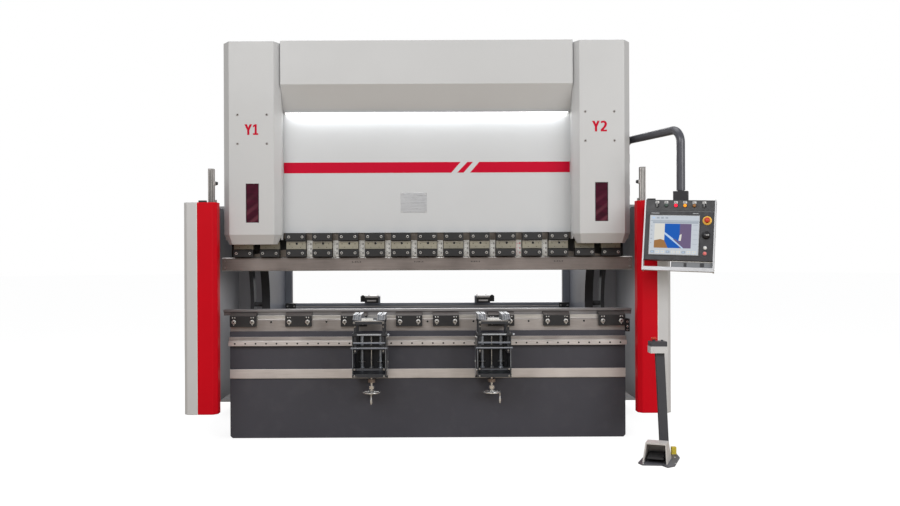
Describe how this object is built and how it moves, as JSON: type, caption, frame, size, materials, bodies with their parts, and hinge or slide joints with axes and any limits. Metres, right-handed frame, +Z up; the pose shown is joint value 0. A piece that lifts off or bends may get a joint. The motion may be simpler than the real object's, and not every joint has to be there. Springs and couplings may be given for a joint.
{
  "type": "hydraulic press brake",
  "caption": "Hydraulic sheet-metal press brake with deep C frames, covered cylinders, clamped tools, sliding front supports, back gauge, swinging console and foot pedal.",
  "frame": {"origin": "on the floor, at mid length of the bed, in the vertical plane of the bending tools", "axes": "+X to the operator's right along the bed, +Y to the back of the machine, +Z up"},
  "size_m": [3.8906, 2.711, 3.044],
  "materials": {
    "paint_dark": "satin dark grey paint",
    "paint_grey": "satin grey paint",
    "paint_frame": "satin blue-grey paint",
    "paint_light": "fine textured light grey paint",
    "paint_red": "satin red paint",
    "ground_steel": "ground steel, lightly oiled",
    "rail_steel": "ground steel",
    "adapter_steel": "phosphated steel",
    "black_steel": "blackened steel",
    "support_paint": "dark grey paint",
    "aluminium": "satin anodised",
    "chrome": "polished",
    "window_glass": "tinted, glossy",
    "console_plastic": "fine textured black paint",
    "pedal_plastic": "satin light grey",
    "pedal_black": "ribbed black"
  },
  "bodies": {
    "frame": {"bed": "paint_dark", "guide_rail": "rail_steel", "die_holder": "ground_steel", "die": "rail_steel", "die_clamps": "black_steel", "crowning_block": "black_steel", "frame_left": "paint_frame", "frame_right": "paint_frame", "gauge_frames": "black_steel", "cabinet_left": "paint_grey", "cabinet_right": "paint_grey", "side_panels": "paint_grey", "guard_fronts": "paint_red", "guard_sides": "paint_light", "guard_posts": "aluminium", "fascia": "paint_light", "cover_left": "paint_light", "cover_right": "paint_light", "cover_windows": "window_glass", "cylinders": "paint_dark", "oil_tank": "paint_grey", "rear_frame": "paint_frame", "gauge_rails": "paint_frame", "arm_bracket": "black_steel", "pedal_base": "paint_grey", "pedal_hood": "pedal_plastic", "pedal_post": "paint_dark"},
    "ram": {"ram": "paint_light", "piston_rods": "chrome", "tool_holder": "adapter_steel", "upper_clamps": "black_steel", "punch_beam": "ground_steel"},
    "console_arm": {"console_arm": "paint_dark"},
    "console": {"console_box": "console_plastic", "console_frame": "aluminium"},
    "support_left": {"support_left": "support_paint"},
    "table_left": {"table_left": "support_paint"},
    "handwheel_left": {"handwheel_left": "chrome"},
    "support_right": {"support_right": "support_paint"},
    "table_right": {"table_right": "support_paint"},
    "handwheel_right": {"handwheel_right": "chrome"},
    "gauge_beam": {"gauge_beam": "paint_frame", "gauge_carriages": "paint_frame"},
    "finger_left": {"finger_left": "aluminium"},
    "finger_right": {"finger_right": "aluminium"},
    "pedal": {"pedal": "pedal_black"}
  },
  "joints": [
    {"name": "ram_stroke", "type": "slide", "parent": "frame", "child": "ram", "axis": [0, 0, 1], "range_m": [-0.265, 0]},
    {"name": "console_arm_swing", "type": "hinge", "parent": "frame", "child": "console_arm", "pos_m": [1.565, 0.116, 1.915], "axis": [0, 0, 1], "range_deg": [-8, 80]},
    {"name": "console_swivel", "type": "hinge", "parent": "console_arm", "child": "console", "pos_m": [1.815, -0.6, 1.83], "axis": [0, 0, 1], "range_deg": [-5, 45]},
    {"name": "support_left_slide", "type": "slide", "parent": "frame", "child": "support_left", "axis": [1, 0, 0], "range_m": [-0.9, 0.22]},
    {"name": "table_left_height", "type": "slide", "parent": "support_left", "child": "table_left", "axis": [0, 0, 1], "range_m": [-0.06, 0.06]},
    {"name": "handwheel_left_turn", "type": "hinge", "parent": "support_left", "child": "handwheel_left", "pos_m": [-0.428, -0.18, 0.5], "axis": [0, 0, 1], "range_deg": [-3610, 3610]},
    {"name": "support_right_slide", "type": "slide", "parent": "frame", "child": "support_right", "axis": [1, 0, 0], "range_m": [-0.28, 0.84]},
    {"name": "table_right_height", "type": "slide", "parent": "support_right", "child": "table_right", "axis": [0, 0, 1], "range_m": [-0.06, 0.06]},
    {"name": "handwheel_right_turn", "type": "hinge", "parent": "support_right", "child": "handwheel_right", "pos_m": [0.487, -0.18, 0.5], "axis": [0, 0, 1], "range_deg": [-3610, 3610]},
    {"name": "back_gauge_depth", "type": "slide", "parent": "frame", "child": "gauge_beam", "axis": [0, 1, 0], "range_m": [-0.75, 0]},
    {"name": "finger_left_slide", "type": "slide", "parent": "gauge_beam", "child": "finger_left", "axis": [1, 0, 0], "range_m": [-0.62, 0.36]},
    {"name": "finger_right_slide", "type": "slide", "parent": "gauge_beam", "child": "finger_right", "axis": [1, 0, 0], "range_m": [-0.36, 0.62]},
    {"name": "pedal_press", "type": "hinge", "parent": "frame", "child": "pedal", "pos_m": [1.57536, -0.86957, 0.034], "axis": [0.9272, -0.3746, 0], "range_deg": [0, 7], "stiffness_Nm_per_rad": 12, "springref_deg": -6.88}
  ],
  "couplings": [
    {"joint": "handwheel_left_turn", "follows": "table_left_height", "rad_per_m": 1047.2},
    {"joint": "handwheel_right_turn", "follows": "table_right_height", "rad_per_m": 1047.2}
  ]
}
